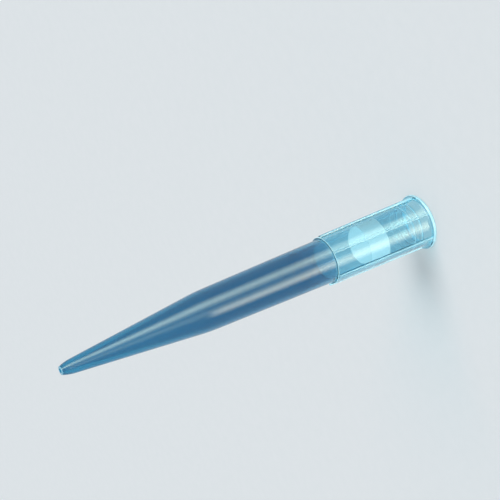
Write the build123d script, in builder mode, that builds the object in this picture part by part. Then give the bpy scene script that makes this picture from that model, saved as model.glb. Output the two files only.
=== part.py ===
"""A 1000 microlitre filter pipette tip, standing on its flange with its nose up.

Two pieces: tip_body, one polypropylene moulding with a nose, a long cone, a barrel
and a ribbed collar that ends in a flange, and filter_plug, the porous plug pushed
into the collar's bore.  Lengths are in millimetres.

A tip that lies down can roll, so this one stands where it is steady: the flat end of
its flange is on Z = 0 and its axis is Z.  A profile point is (radius, height), and a
height is measured from the mouth of the flange.
"""

from build123d import *
import os

# ---- overall sizes ---------------------------------------------------------------
overall_length = 71.0
flange_diameter = 10.0

# The radii of the collar, the barrel and the bore follow from the flange's, one from
# the next.  A draft is the radius that a wall gains from its narrow end to its wide end.

# ---- flange ------------------------------------------------------------------------
flange_overhang = 0.675
flange_thickness = 0.70
flange_edge_round = 0.33
flange_flare_round = 0.42

# ---- collar and ribs, outside ------------------------------------------------------
collar_length = 20.3
collar_draft = 0.125
collar_step = 0.30
collar_edge_round = 0.08
rib_count = 6
rib_width = 0.50
rib_height = 0.35
rib_draft = 0.24
rib_root_depth = 0.25
rib_edge_round = 0.08

# ---- barrel, cone and nose, outside ------------------------------------------------
barrel_draft = 0.36
shoulder_round = 40.0
cone_length = 24.0
nose_length = 2.2
nose_diameter = 2.50
nose_end_diameter = 1.45
nose_edge_round = 0.10

# ---- bore, from the plug to the nose -----------------------------------------------
barrel_wall = 0.55
cone_wall = 0.56
bore_blend_round = 30.0
orifice_diameter = 0.80
orifice_land = 1.50

# ---- socket for the pipette's nozzle -------------------------------------------------
collar_wall = 0.325
mouth_depth = 1.3
mouth_flare = 0.30
mouth_edge_round = 0.12
socket_depth = 4.8
socket_draft = 0.10
socket_step = 0.06
socket_step_length = 0.45
lip_height = 0.08
lip_width = 0.36
lip_crest = 0.12
inner_lip_gap = 0.35
outer_lip_gap = 1.85
groove_gap = 1.20
groove_width = 0.30
groove_cut = 0.05

# ---- plug and its seat ----------------------------------------------------------------
plug_depth = 9.2
plug_length = 4.0
plug_edge_chamfer = 0.12
plug_clearance = 0.02
seat_shelf = 0.10
seat_inset = 0.28

# ---- heights that follow ----------------------------------------------------------------
nose_foot = overall_length - nose_length
shoulder = nose_foot - cone_length
plug_far_end = plug_depth + plug_length
socket_wall_end = socket_depth - socket_step_length

# ---- radii that follow ------------------------------------------------------------------
flange_radius = flange_diameter / 2
collar_wide_radius = flange_radius - flange_overhang
collar_radius = collar_wide_radius - collar_draft
rib_radius = collar_radius + rib_height
rib_wide_radius = rib_radius + rib_draft
barrel_wide_radius = collar_radius - collar_step
shoulder_radius = barrel_wide_radius - barrel_draft
socket_wide_radius = collar_wide_radius - collar_wall
socket_radius = socket_wide_radius - socket_draft
seal_radius = socket_radius - lip_height
mouth_radius = socket_wide_radius + mouth_flare
seat_radius = socket_radius - seat_inset
plug_radius = seat_radius - plug_clearance
orifice_radius = orifice_diameter / 2


def socket_wall(height):
    """Radius of the socket's tapered wall at this height."""
    share = (socket_wall_end - height) / (socket_wall_end - mouth_depth)
    return socket_radius + socket_draft * share


def lip_corners(gap):
    """Corners of a sealing lip, a low band with a straight crest, this far from the wall's end."""
    height = socket_wall_end - gap
    return [
        (socket_wall(height - lip_width / 2), height - lip_width / 2),
        (seal_radius, height - lip_crest / 2),
        (seal_radius, height + lip_crest / 2),
        (socket_wall(height + lip_width / 2), height + lip_width / 2),
    ]


# ---- one rib of the collar -----------------------------------------------------------------
with BuildPart() as rib:
    with BuildSketch(Plane.XZ):
        with BuildLine():
            Polyline(
                (collar_radius - rib_root_depth, collar_length),
                (rib_radius, collar_length),
                (rib_wide_radius, flange_thickness),
                (collar_wide_radius - rib_root_depth, flange_thickness),
                close=True,
            )
        make_face()
    extrude(amount=rib_width / 2, both=True)
    fillet(rib.faces().sort_by(Axis.X)[-1].edges(), radius=rib_edge_round)

# ---- tip_body: the moulding ----------------------------------------------------------
with BuildPart() as tip_body:
    # The outside, turned from one profile.  The nose's arc runs smoothly into the cone.
    with BuildSketch(Plane.XZ):
        with BuildLine():
            outline = FilletPolyline(
                (nose_diameter / 2, nose_foot),
                (shoulder_radius, shoulder),
                (barrel_wide_radius, collar_length),
                (collar_radius, collar_length),
                (collar_wide_radius, flange_thickness),
                (flange_radius, flange_thickness),
                (flange_radius, 0),
                (0, 0),
                (0, overall_length),
                (nose_end_diameter / 2, overall_length),
                radius=[
                    shoulder_round,
                    0,
                    collar_edge_round,
                    flange_flare_round,
                    flange_edge_round,
                    flange_edge_round,
                    0,
                    0,
                ],
            )
            TangentArc(outline @ 0, outline @ 1, tangent=outline % 0 * -1)
        make_face()
    revolve(axis=Axis.Z)

    with PolarLocations(radius=0, start_angle=180 / rib_count, count=rib_count):
        add(rib.part)

    # The bore: the mouth, the socket's taper with its two sealing lips and the groove
    # between them, two fine steps, the plug's seat, the barrel, the cone and the orifice.
    with BuildSketch(Plane.XZ):
        with BuildLine():
            Polyline(
                (0, overall_length),
                (0, 0),
                (mouth_radius, 0),
                (socket_wide_radius, mouth_depth),
                *lip_corners(outer_lip_gap),
                *lip_corners(inner_lip_gap),
                (socket_radius, socket_wall_end),
                (socket_radius - socket_step, socket_wall_end),
                (socket_radius - socket_step, socket_depth),
                (socket_radius - 2 * socket_step, socket_depth),
                (seat_radius, plug_depth),
                (seat_radius, plug_far_end),
                (seat_radius - seat_shelf, plug_far_end),
            )
            FilletPolyline(
                (seat_radius - seat_shelf, plug_far_end),
                (barrel_wide_radius - barrel_wall, collar_length),
                (shoulder_radius - cone_wall, shoulder),
                (orifice_radius, overall_length - orifice_land),
                (orifice_radius, overall_length),
                (0, overall_length),
                radius=[0, bore_blend_round, 0, 0],
            )
        make_face()
        groove_height = socket_wall_end - groove_gap
        with Locations((socket_wall(groove_height), groove_height)):
            Ellipse(groove_cut, groove_width / 2)
    revolve(axis=Axis.Z, mode=Mode.SUBTRACT)

    end_circles = tip_body.edges().filter_by(GeomType.CIRCLE).group_by(Axis.Z)
    fillet(end_circles[-1].sort_by(SortBy.RADIUS)[-1], radius=nose_edge_round)
    fillet(end_circles[0].sort_by(SortBy.RADIUS)[0], radius=mouth_edge_round)

# ---- filter_plug: sintered porous plastic, pushed in to the seat's shelf ---------------------
with BuildPart() as filter_plug:
    with BuildSketch(Plane.XZ) as plug_half:
        with BuildLine():
            Polyline(
                (0, plug_depth),
                (plug_radius, plug_depth),
                (plug_radius, plug_far_end),
                (0, plug_far_end),
                close=True,
            )
        make_face()
        chamfer(plug_half.vertices().group_by(Axis.X)[-1], length=plug_edge_chamfer)
    revolve(axis=Axis.Z)

# ---- files -------------------------------------------------------------------------------
tip_body.part.label = "tip_body"
filter_plug.part.label = "filter_plug"
os.makedirs("parts", exist_ok=True)
export_step(tip_body.part, "parts/tip_body.step")
export_step(filter_plug.part, "parts/filter_plug.step")
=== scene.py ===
"""A 1000 microlitre filter pipette tip that stands on its flange: its looks, round the CAD frame.

Everything is in metres. +Z runs up the tip's axis, from the flange to the nose.
"""
import math

import bpy
import numpy as np
from mathutils import Matrix, Vector


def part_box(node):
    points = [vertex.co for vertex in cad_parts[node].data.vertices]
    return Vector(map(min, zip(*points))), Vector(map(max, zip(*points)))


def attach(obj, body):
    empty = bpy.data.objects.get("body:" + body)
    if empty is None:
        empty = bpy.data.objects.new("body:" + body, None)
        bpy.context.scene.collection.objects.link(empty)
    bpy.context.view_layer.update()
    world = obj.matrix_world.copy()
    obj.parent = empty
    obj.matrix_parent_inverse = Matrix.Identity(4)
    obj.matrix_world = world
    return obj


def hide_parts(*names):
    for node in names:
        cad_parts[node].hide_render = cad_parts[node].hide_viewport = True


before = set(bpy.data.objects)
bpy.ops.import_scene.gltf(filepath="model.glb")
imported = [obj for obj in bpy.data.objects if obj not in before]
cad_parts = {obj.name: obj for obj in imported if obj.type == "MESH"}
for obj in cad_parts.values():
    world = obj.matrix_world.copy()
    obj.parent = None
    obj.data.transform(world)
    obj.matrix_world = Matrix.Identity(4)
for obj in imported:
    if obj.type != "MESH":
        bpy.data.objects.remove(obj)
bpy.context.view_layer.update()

# ---- tip_body: the moulded tip -------------------------------------------------------------
# One injection moulding of clarified polypropylene with a blue dye. The mould is polished at the
# collar, which comes out clear, and finely blasted at the barrel and cone, which come out a little
# cloudy. Its shape is the CAD node's own, so only the finish is made here.
MM = 0.001
tip_length = 71.0


def linear(hex_colour):
    """An sRGB hex colour as linear RGBA: c / 12.92 below 0.04045, else ((c + 0.055) / 1.055) ** 2.4."""
    channels = [int(hex_colour[i:i + 2], 16) / 255 for i in (1, 3, 5)]
    return tuple(c / 12.92 if c <= 0.04045 else ((c + 0.055) / 1.055) ** 2.4 for c in channels) + (1.0,)


def add_node(tree, kind, settings=None, links=None):
    """Add a node, set its attributes or input values, and link other nodes' outputs to its inputs."""
    node = tree.nodes.new(kind)
    for key, value in (settings or {}).items():
        if isinstance(key, str) and hasattr(node, key):
            setattr(node, key, value)
        else:
            node.inputs[key].default_value = value
    for key, source in (links or {}).items():
        tree.links.new(source, node.inputs[key])
    return node


def new_material(name):
    """A material with an empty node tree."""
    material = bpy.data.materials.new(name)
    material.use_nodes = True
    material.node_tree.nodes.clear()
    return material, material.node_tree


# Clear blue moulded polypropylene: a hard gloss, a deeper blue up the barrel, and fine whitish lines
# painted along the mould's sharp edges as painted highlights, where the edges catch light. Heights and
# radii are read off in mm.
tinted_pp, tree = new_material("clarified_polypropylene_injection_moulded_blue")
place = add_node(tree, "ShaderNodeTexCoord")
in_mm = add_node(tree, "ShaderNodeVectorMath", {"operation": "MULTIPLY", 1: (1 / MM, 1 / MM, 1 / MM)},
                 {0: place.outputs["Object"]})
flat = add_node(tree, "ShaderNodeVectorMath", {"operation": "MULTIPLY", 1: (1.0, 1.0, 0.0)},
                {0: in_mm.outputs["Vector"]})
radius = add_node(tree, "ShaderNodeVectorMath", {"operation": "LENGTH"},
                  {0: flat.outputs["Vector"]}).outputs["Value"]
height = add_node(tree, "ShaderNodeSeparateXYZ", {}, {0: in_mm.outputs["Vector"]}).outputs["Z"]

# Painted highlights: whitish lines along the round edges, where they catch light. In mm: height of the
# middle, half the height, middle radius, half the radial width, and how white the painted highlight is.
painted_round_edge_highlights = [
    (20.28, 0.03, 4.24, 0.09, 1.00),  # the step at the collar's end
    (0.32, 0.28, 5.00, 0.20, 0.70),  # the flange's rim
    (2.50, 0.10, 3.85, 0.17, 0.45),  # the outer sealing lip
    (4.00, 0.10, 3.85, 0.17, 0.45),  # the inner sealing lip
    (4.35, 0.04, 3.85, 0.17, 0.20),  # the end of the socket's wall
    (4.80, 0.04, 3.75, 0.27, 0.20),  # the step at the socket's foot
    (tip_length, 0.10, 0.60, 0.20, 0.40),  # the end of the nose
]
highlight_lines = []
for middle, half_height, ring, half_width, highlight_whiteness in painted_round_edge_highlights:
    at_height = add_node(tree, "ShaderNodeMath", {"operation": "COMPARE", 1: middle, 2: half_height},
                         {0: height})
    at_radius = add_node(tree, "ShaderNodeMath", {"operation": "COMPARE", 1: ring, 2: half_width},
                         {0: radius})
    band = add_node(tree, "ShaderNodeMath", {"operation": "MULTIPLY"},
                    {0: at_height.outputs[0], 1: at_radius.outputs[0]})
    line = add_node(tree, "ShaderNodeMath", {"operation": "MULTIPLY", 1: highlight_whiteness}, {0: band.outputs[0]})
    highlight_lines.append(line.outputs[0])
# Each rib gets a painted highlight along its two long edges: a whitish line to each side of its middle
# plane.
# There are six ribs, so three planes through the axis hold them all.
rib_edge, rib_line_half = 0.20, 0.06
rib_crest, rib_crest_half = 4.70, 0.25
rib_highlight_whiteness = 0.55
for degrees in (30, 90, 150):
    turn = math.radians(degrees)
    aside = add_node(tree, "ShaderNodeVectorMath",
                     {"operation": "DOT_PRODUCT", 1: (math.sin(turn), -math.cos(turn), 0.0)},
                     {0: in_mm.outputs["Vector"]})
    aside = add_node(tree, "ShaderNodeMath", {"operation": "ABSOLUTE"}, {0: aside.outputs["Value"]})
    at_edge = add_node(tree, "ShaderNodeMath", {"operation": "COMPARE", 1: rib_edge, 2: rib_line_half},
                       {0: aside.outputs[0]})
    at_crest = add_node(tree, "ShaderNodeMath", {"operation": "COMPARE", 1: rib_crest, 2: rib_crest_half},
                        {0: radius})
    band = add_node(tree, "ShaderNodeMath", {"operation": "MULTIPLY"},
                    {0: at_edge.outputs[0], 1: at_crest.outputs[0]})
    line = add_node(tree, "ShaderNodeMath", {"operation": "MULTIPLY", 1: rib_highlight_whiteness},
                    {0: band.outputs[0]})
    highlight_lines.append(line.outputs[0])
# All the painted highlight lines together: 0 away from them, up to 1 on a fully white one.
painted_highlights = highlight_lines[0]
for line in highlight_lines[1:]:
    painted_highlights = add_node(tree, "ShaderNodeMath", {"operation": "MAXIMUM"}, {0: line, 1: painted_highlights}).outputs[0]

# 0 where the mould is polished, 1 where it is blasted. The blasting starts a little way up the
# barrel, so the step's far side shows through the barrel's foot.
blasting_starts, blasting_full = 23.5, 29.0
blasted = add_node(tree, "ShaderNodeMapRange", {"From Min": blasting_starts, "From Max": blasting_full},
                   {"Value": height})
# Flow lines: the melt runs up the wall, so the streaks are about 1 mm wide and 12 mm long.
streaks_per_metre = 900.0
streak_stretch = 0.08
flow_place = add_node(tree, "ShaderNodeMapping", {"Scale": (1.0, 1.0, streak_stretch)},
                      {"Vector": place.outputs["Object"]})
flow = add_node(tree, "ShaderNodeTexNoise", {"Scale": streaks_per_metre, "Detail": 2.0, "Roughness": 0.5},
                {"Vector": flow_place.outputs["Vector"]})
# Blasted grain: real grains are about 0.03 mm, drawn at 0.12 mm so that they show.
grains_per_metre = 8000.0
grain = add_node(tree, "ShaderNodeTexNoise", {"Scale": grains_per_metre, "Detail": 2.0, "Roughness": 0.6},
                 {"Vector": place.outputs["Object"]})
uneven = add_node(tree, "ShaderNodeMapRange", {"To Min": 0.96, "To Max": 1.04},
                  {"Value": grain.outputs["Fac"]})
polished_roughness, blasted_roughness, line_roughness = 0.05, 0.16, 0.35
finish = add_node(tree, "ShaderNodeMapRange", {"To Min": polished_roughness, "To Max": blasted_roughness},
                  {"Value": blasted.outputs["Result"]})
roughness = add_node(tree, "ShaderNodeMath", {"operation": "MULTIPLY"},
                     {0: finish.outputs["Result"], 1: uneven.outputs["Result"]})
roughness = add_node(tree, "ShaderNodeMath", {"operation": "MULTIPLY_ADD", 1: line_roughness},
                     {0: painted_highlights, 2: roughness.outputs[0]})
# The share of light that the wall passes on; the rest it scatters back. A fully white painted highlight
# line would pass on a twentieth of that.
polished_clearness, blasted_clearness = 0.985, 0.85
highlight_line_cloudiness = 0.95
clear_share = add_node(tree, "ShaderNodeMapRange",
                       {"To Min": polished_clearness, "To Max": blasted_clearness},
                       {"Value": blasted.outputs["Result"]})
away_from_highlights = add_node(tree, "ShaderNodeMath", {"operation": "MULTIPLY_ADD", 1: -highlight_line_cloudiness, 2: 1.0},
                    {0: painted_highlights})
clear_share = add_node(tree, "ShaderNodeMath", {"operation": "MULTIPLY"},
                       {0: clear_share.outputs["Result"], 1: away_from_highlights.outputs[0]})
# The dye's tint at each surface, by height in mm: pale on the thin collar, then deeper up the
# thicker barrel, and a little lighter again towards the nose.
tints = [(20.2, "#aedcea"), (20.6, "#6cafcd"), (27.0, "#2685ab"), (42.0, "#2685ab"), (58.0, "#2a90b4")]
part_way = add_node(tree, "ShaderNodeMapRange", {"From Max": tip_length}, {"Value": height})
height_tint = add_node(tree, "ShaderNodeValToRGB", {}, {0: part_way.outputs["Result"]})
stops = height_tint.color_ramp.elements
while len(stops) < len(tints):
    stops.new(1.0)
for stop, (level, colour) in zip(stops, tints):
    stop.position = level / tip_length
    stop.color = linear(colour)
shade = add_node(tree, "ShaderNodeMapRange", {"To Min": 0.95, "To Max": 1.05},
                 {"Value": flow.outputs["Fac"]})
streaky_tint = add_node(tree, "ShaderNodeHueSaturation", {},
                        {"Color": height_tint.outputs["Color"], "Value": shade.outputs["Result"]})
# Under the painted highlight lines the tint turns a pale cyan-white, #b4e8f1.
tint = add_node(tree, "ShaderNodeMix", {"data_type": "RGBA", 7: linear("#b4e8f1")},
                {0: painted_highlights, 6: streaky_tint.outputs[0]})
flow_bump = add_node(tree, "ShaderNodeBump", {"Strength": 0.01, "Distance": 0.01 * MM},
                     {"Height": flow.outputs["Fac"]})
plastic = add_node(tree, "ShaderNodeBsdfPrincipled",
                   {"IOR": 1.49, "Specular IOR Level": 0.3,
                    "Coat Weight": 0.25, "Coat Roughness": 0.22, "Coat IOR": 1.5},
                   {"Base Color": tint.outputs[2], "Roughness": roughness.outputs[0],
                    "Transmission Weight": clear_share.outputs[0],
                    "Normal": flow_bump.outputs["Normal"]})
# Lamplight passes the thin walls on its way to the plug and the bench.
passing = add_node(tree, "ShaderNodeBsdfTransparent", {"Color": linear("#fcfefe")})
path = add_node(tree, "ShaderNodeLightPath")
surface = plastic
for kind_of_ray in ("Is Shadow Ray", "Is Diffuse Ray"):
    surface = add_node(tree, "ShaderNodeMixShader", {},
                       {0: path.outputs[kind_of_ray], 1: surface.outputs[0], 2: passing.outputs[0]})
# The dye takes red out first, so a wall that is seen edge-on is a deeper blue.
dye = add_node(tree, "ShaderNodeVolumeAbsorption", {"Color": (0.10, 0.76, 0.90, 1.0), "Density": 200.0})
add_node(tree, "ShaderNodeOutputMaterial", {}, {"Surface": surface.outputs[0], "Volume": dye.outputs[0]})
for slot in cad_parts["tip_body"].material_slots:
    slot.material = tinted_pp

# ---- filter_plug: the porous plug ----------------------------------------------------------
# A short white cylinder of polyethylene beads, about 0.2 mm across, sintered together and
# pushed into the collar's bore. Its skin shows the beads, and its edges are a little round.
plug_low, plug_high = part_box("filter_plug")
plug_radius = 3.60 * MM
edge_round = 0.12 * MM
bead_pitch = 0.20 * MM
relief_depth = 0.03 * MM
sides = 300
face_rings = 46
wall_rings = 50
corner_steps = 4


def bead_relief(points):
    """1 - d ** 2 for each point, and never below 0, where d is the distance to the nearest bead's
    middle in pitches. The beads lie on a cubic lattice of cells (i, j, k), and each is moved by
    frac(43758.5453 sin(s f)) along each axis, with s = 12.9898 i + 78.233 j + 37.719 k and f of
    1.0, 1.37 and 1.91."""
    cell = np.floor(points / bead_pitch)
    nearest = np.ones(len(points))
    for shift in np.ndindex(3, 3, 3):
        neighbour = cell + np.array(shift) - 1
        seed = neighbour @ np.array([12.9898, 78.233, 37.719])
        offset = np.stack([np.sin(seed * f) * 43758.5453 % 1.0 for f in (1.0, 1.37, 1.91)], axis=1)
        nearest = np.minimum(nearest, (((neighbour + offset) - points / bead_pitch) ** 2).sum(1))
    return 1.0 - nearest


def turned(radii, heights):
    """A closed surface of revolution: point (i, j) is (r_i cos a_j, r_i sin a_j, z_i), where a_j
    is 2 pi j / sides. The profile's first and last points are single points on the axis."""
    turn = 2 * np.pi * np.arange(sides) / sides
    rings = np.stack([np.outer(radii[1:-1], np.cos(turn)), np.outer(radii[1:-1], np.sin(turn)),
                      np.repeat(heights[1:-1, None], sides, axis=1)], axis=2).reshape(-1, 3)
    points = np.vstack([[0, 0, heights[0]], rings, [0, 0, heights[-1]]])
    here = 1 + np.arange(len(rings)).reshape(-1, sides)
    beside = np.roll(here, -1, axis=1)
    walls = np.stack([here[:-1], beside[:-1], beside[1:], here[1:]], axis=2).reshape(-1, 4)
    last = len(points) - 1
    low_cap = np.stack([np.zeros(sides, int), beside[0], here[0]], axis=1)
    high_cap = np.stack([np.full(sides, last), here[-1], beside[-1]], axis=1)
    return points, low_cap.tolist() + walls.tolist() + high_cap.tolist()


# The profile runs out along the low face, round its edge, up the wall, and back over the high face.
face_radii = np.linspace(0.0, plug_radius - edge_round, face_rings)
corner = np.linspace(0.0, np.pi / 2, corner_steps + 1)[1:-1]
corner_radii = plug_radius - edge_round + edge_round * np.sin(corner)
corner_rise = edge_round * (1 - np.cos(corner))
wall = np.linspace(plug_low.z + edge_round, plug_high.z - edge_round, wall_rings)
profile_radii = np.concatenate([face_radii, corner_radii, np.full(wall_rings, plug_radius),
                                corner_radii[::-1], face_radii[::-1]])
profile_heights = np.concatenate([np.full(face_rings, plug_low.z), plug_low.z + corner_rise, wall,
                                  plug_high.z - corner_rise[::-1], np.full(face_rings, plug_high.z)])
plug_points, plug_faces = turned(profile_radii, profile_heights)
# Between the beads the skin sinks towards the plug's middle, by up to the relief's depth.
middle = np.array([0.0, 0.0, (plug_low.z + plug_high.z) / 2])
half_length = (plug_high.z - plug_low.z) / 2
sink = relief_depth * (1.0 - bead_relief(plug_points)) / half_length
plug_points = middle + (plug_points - middle) * (1.0 - sink[:, None])
plug_mesh = bpy.data.meshes.new("sintered_plug")
plug_mesh.from_pydata(plug_points.tolist(), [], plug_faces)
plug_mesh.shade_smooth()
plug = bpy.data.objects.new("sintered_plug", plug_mesh)
bpy.context.scene.collection.objects.link(plug)

# Sintered polyethylene beads: matt white, with a soft glow under the skin.
sintered, tree = new_material("sintered_polyethylene_beads_white")
place = add_node(tree, "ShaderNodeTexCoord")
beads = add_node(tree, "ShaderNodeTexVoronoi", {"Scale": 1 / bead_pitch},
                 {"Vector": place.outputs["Object"]})
cloud = add_node(tree, "ShaderNodeTexNoise", {"Scale": 900.0, "Detail": 3.0},
                 {"Vector": place.outputs["Object"]})
white = add_node(tree, "ShaderNodeMix", {"data_type": "RGBA", 6: linear("#f4f2ef"), 7: linear("#fdfaf7")},
                 {0: cloud.outputs["Fac"]})
bead_bump = add_node(tree, "ShaderNodeBump", {"Strength": 0.4, "Distance": 0.02 * MM, "invert": True},
                     {"Height": beads.outputs["Distance"]})
polymer = add_node(tree, "ShaderNodeBsdfPrincipled",
                   {"Roughness": 0.72, "IOR": 1.5, "Subsurface Weight": 0.35,
                    "Subsurface Scale": 0.4 * MM, "Subsurface Radius": (1.0, 1.0, 1.0)},
                   {"Base Color": white.outputs[2], "Normal": bead_bump.outputs["Normal"]})
add_node(tree, "ShaderNodeOutputMaterial", {}, {"Surface": polymer.outputs[0]})
plug_mesh.materials.append(sintered)
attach(plug, "root")
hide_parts("filter_plug")

# ---- the bench -----------------------------------------------------------------------------
# A plain pale matt sheet under the tip, wide enough to fill every view from above. It lies a
# hair below the flange. Mirror rays miss it, and meet the lamps below it or the backdrop.
half_bench = 3.0
bench_top = -0.02 * MM
bench_mesh = bpy.data.meshes.new("bench")
bench_mesh.from_pydata([(-half_bench, -half_bench, bench_top), (half_bench, -half_bench, bench_top),
                        (half_bench, half_bench, bench_top), (-half_bench, half_bench, bench_top)],
                       [], [(0, 1, 2, 3)])
bench = bpy.data.objects.new("bench", bench_mesh)
bpy.context.scene.collection.objects.link(bench)
matt, tree = new_material("matt_laminate_pale")
place = add_node(tree, "ShaderNodeTexCoord")
speckle = add_node(tree, "ShaderNodeTexNoise", {"Scale": 400.0, "Detail": 2.0},
                   {"Vector": place.outputs["Object"]})
pale = add_node(tree, "ShaderNodeMix", {"data_type": "RGBA", 6: linear("#e2e6e8"), 7: linear("#e6e9eb")},
                {0: speckle.outputs["Fac"]})
sheet = add_node(tree, "ShaderNodeBsdfPrincipled", {"Roughness": 0.8}, {"Base Color": pale.outputs[2]})
add_node(tree, "ShaderNodeOutputMaterial", {}, {"Surface": sheet.outputs[0]})
bench_mesh.materials.append(matt)
bench.visible_glossy = False

# ---- studio light --------------------------------------------------------------------------
# A broad soft sun lights the bench and the moulding evenly. Soft boxes light only the tip, and
# they alone light the plug, so it doesn't clip to white. Those in front of the tip reach below
# the bench's level, so that its upright walls mirror them.
scene = bpy.context.scene
scene.view_settings.view_transform = "Standard"
sun_light = bpy.data.lights.new("broad_sun", "SUN")
sun_light.angle = math.radians(35)
sun_light.energy = 1.6
sun = bpy.data.objects.new("broad_sun", sun_light)
sun.rotation_euler = Vector((0.50, -0.45, 0.74)).to_track_quat("Z", "Y").to_euler()
scene.collection.objects.link(sun)
lit_by_sun = bpy.data.collections.new("lit_by_sun")
for piece in (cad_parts["tip_body"], bench):
    lit_by_sun.objects.link(piece)
sun.light_linking.receiver_collection = lit_by_sun
lit_by_boxes = bpy.data.collections.new("lit_by_boxes")
for piece in (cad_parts["tip_body"], plug):
    lit_by_boxes.objects.link(piece)
boxes_aim = Vector((0, 0, 30 * MM))


def soft_box(name, azimuth, elevation, distance, width, tall, radiance, colour):
    """A rectangular lamp that faces the tip at mid height, with power pi * width * tall * radiance.
    Its cloth is brightest along its middle line and fades to nothing at its two long edges."""
    light = bpy.data.lights.new(name, "AREA")
    light.shape = "RECTANGLE"
    light.size, light.size_y = width, tall
    light.energy = math.pi * width * tall * radiance
    light.color = linear(colour)[:3]
    light.use_nodes = True
    tree = light.node_tree
    tree.nodes.clear()
    cloth = add_node(tree, "ShaderNodeNewGeometry")
    across = add_node(tree, "ShaderNodeMapping", {"Location": (-1.0, 0.0, 0.0), "Scale": (2.0, 0.0, 0.0)},
                      {"Vector": cloth.outputs["Parametric"]})
    fade = add_node(tree, "ShaderNodeTexGradient", {"gradient_type": "SPHERICAL"},
                    {"Vector": across.outputs["Vector"]})
    glow = add_node(tree, "ShaderNodeEmission", {}, {"Strength": fade.outputs["Fac"]})
    add_node(tree, "ShaderNodeOutputLight", {}, {"Surface": glow.outputs[0]})
    lamp = bpy.data.objects.new(name, light)
    turn, lift = math.radians(azimuth), math.radians(elevation)
    away = Vector((math.cos(turn) * math.cos(lift), math.sin(turn) * math.cos(lift), math.sin(lift)))
    lamp.location = boxes_aim + away * distance
    lamp.rotation_euler = away.to_track_quat("Z", "Y").to_euler()
    lamp.visible_camera = False
    lamp.visible_transmission = False
    lamp.light_linking.receiver_collection = lit_by_boxes
    scene.collection.objects.link(lamp)
    return lamp


# Three that are only mirrored, as the long highlights on the barrel and the soft sheen on the cone.
mirrored = [
    soft_box("strip_right", -70.0, 0.0, 0.26, 0.26, 0.52, 7.0, "#f2ffdc"),
    soft_box("strip_left", -133.0, -39.5, 0.30, 0.24, 0.27, 7.6, "#fffbd8"),
    soft_box("low_panel", -116.0, -10.0, 0.30, 0.26, 0.30, 1.6, "#faffd0"),
]
for lamp in mirrored:
    lamp.visible_diffuse = False
soft_box("overhead", -80.0, 65.0, 0.40, 0.40, 0.40, 3.4, "#ffffff")
# Two that only light the plug and the painted highlight lines, and are not mirrored.
fills = [
    soft_box("fill_front", -140.0, 10.0, 0.40, 0.40, 0.30, 7.0, "#ffffff"),
    soft_box("fill_back", 75.0, 28.0, 0.40, 0.40, 0.30, 3.0, "#ffffff"),
]
for lamp in fills:
    lamp.visible_glossy = False

# The air lights the scene from all round. The backdrop, as pale as the bench, is what the camera
# sees past the bench's edge, whether straight, mirrored in the walls or through them.
world = bpy.data.worlds.new("studio")
scene.world = world
world.use_nodes = True
tree = world.node_tree
tree.nodes.clear()
air = add_node(tree, "ShaderNodeBackground", {"Color": linear("#e4e9ec"), "Strength": 0.7})
backdrop = add_node(tree, "ShaderNodeBackground", {"Color": linear("#dce2e6"), "Strength": 1.0})
path = add_node(tree, "ShaderNodeLightPath")
surround = air
for kind_of_ray in ("Is Camera Ray", "Is Glossy Ray", "Is Transmission Ray"):
    surround = add_node(tree, "ShaderNodeMixShader", {},
                        {0: path.outputs[kind_of_ray], 1: surround.outputs[0], 2: backdrop.outputs[0]})
add_node(tree, "ShaderNodeOutputWorld", {}, {"Surface": surround.outputs[0]})

# ---- camera --------------------------------------------------------------------------------
# It looks down on the tip from 25 degrees, from 0.3 m away, and is rolled so that the nose
# points down to the left.
camera_data = bpy.data.cameras.new("camera")
camera_data.sensor_width = 36.0
camera_data.lens = 122.11
camera_data.clip_start = 0.01
camera = bpy.data.objects.new("camera", camera_data)
azimuth, elevation, roll = (math.radians(degrees) for degrees in (-10.564, 25.213, -111.97))
back = Vector((math.sin(azimuth) * math.cos(elevation), -math.cos(azimuth) * math.cos(elevation),
               math.sin(elevation)))
level = Vector((math.cos(azimuth), math.sin(azimuth), 0))
right = level * math.cos(roll) + back.cross(level) * math.sin(roll)
basis = Matrix((right, back.cross(right), back)).transposed()
camera.matrix_world = Matrix.Translation(Vector((-40.622, -253.106, 153.2)) * MM) @ basis.to_4x4()
scene.collection.objects.link(camera)
scene.camera = camera
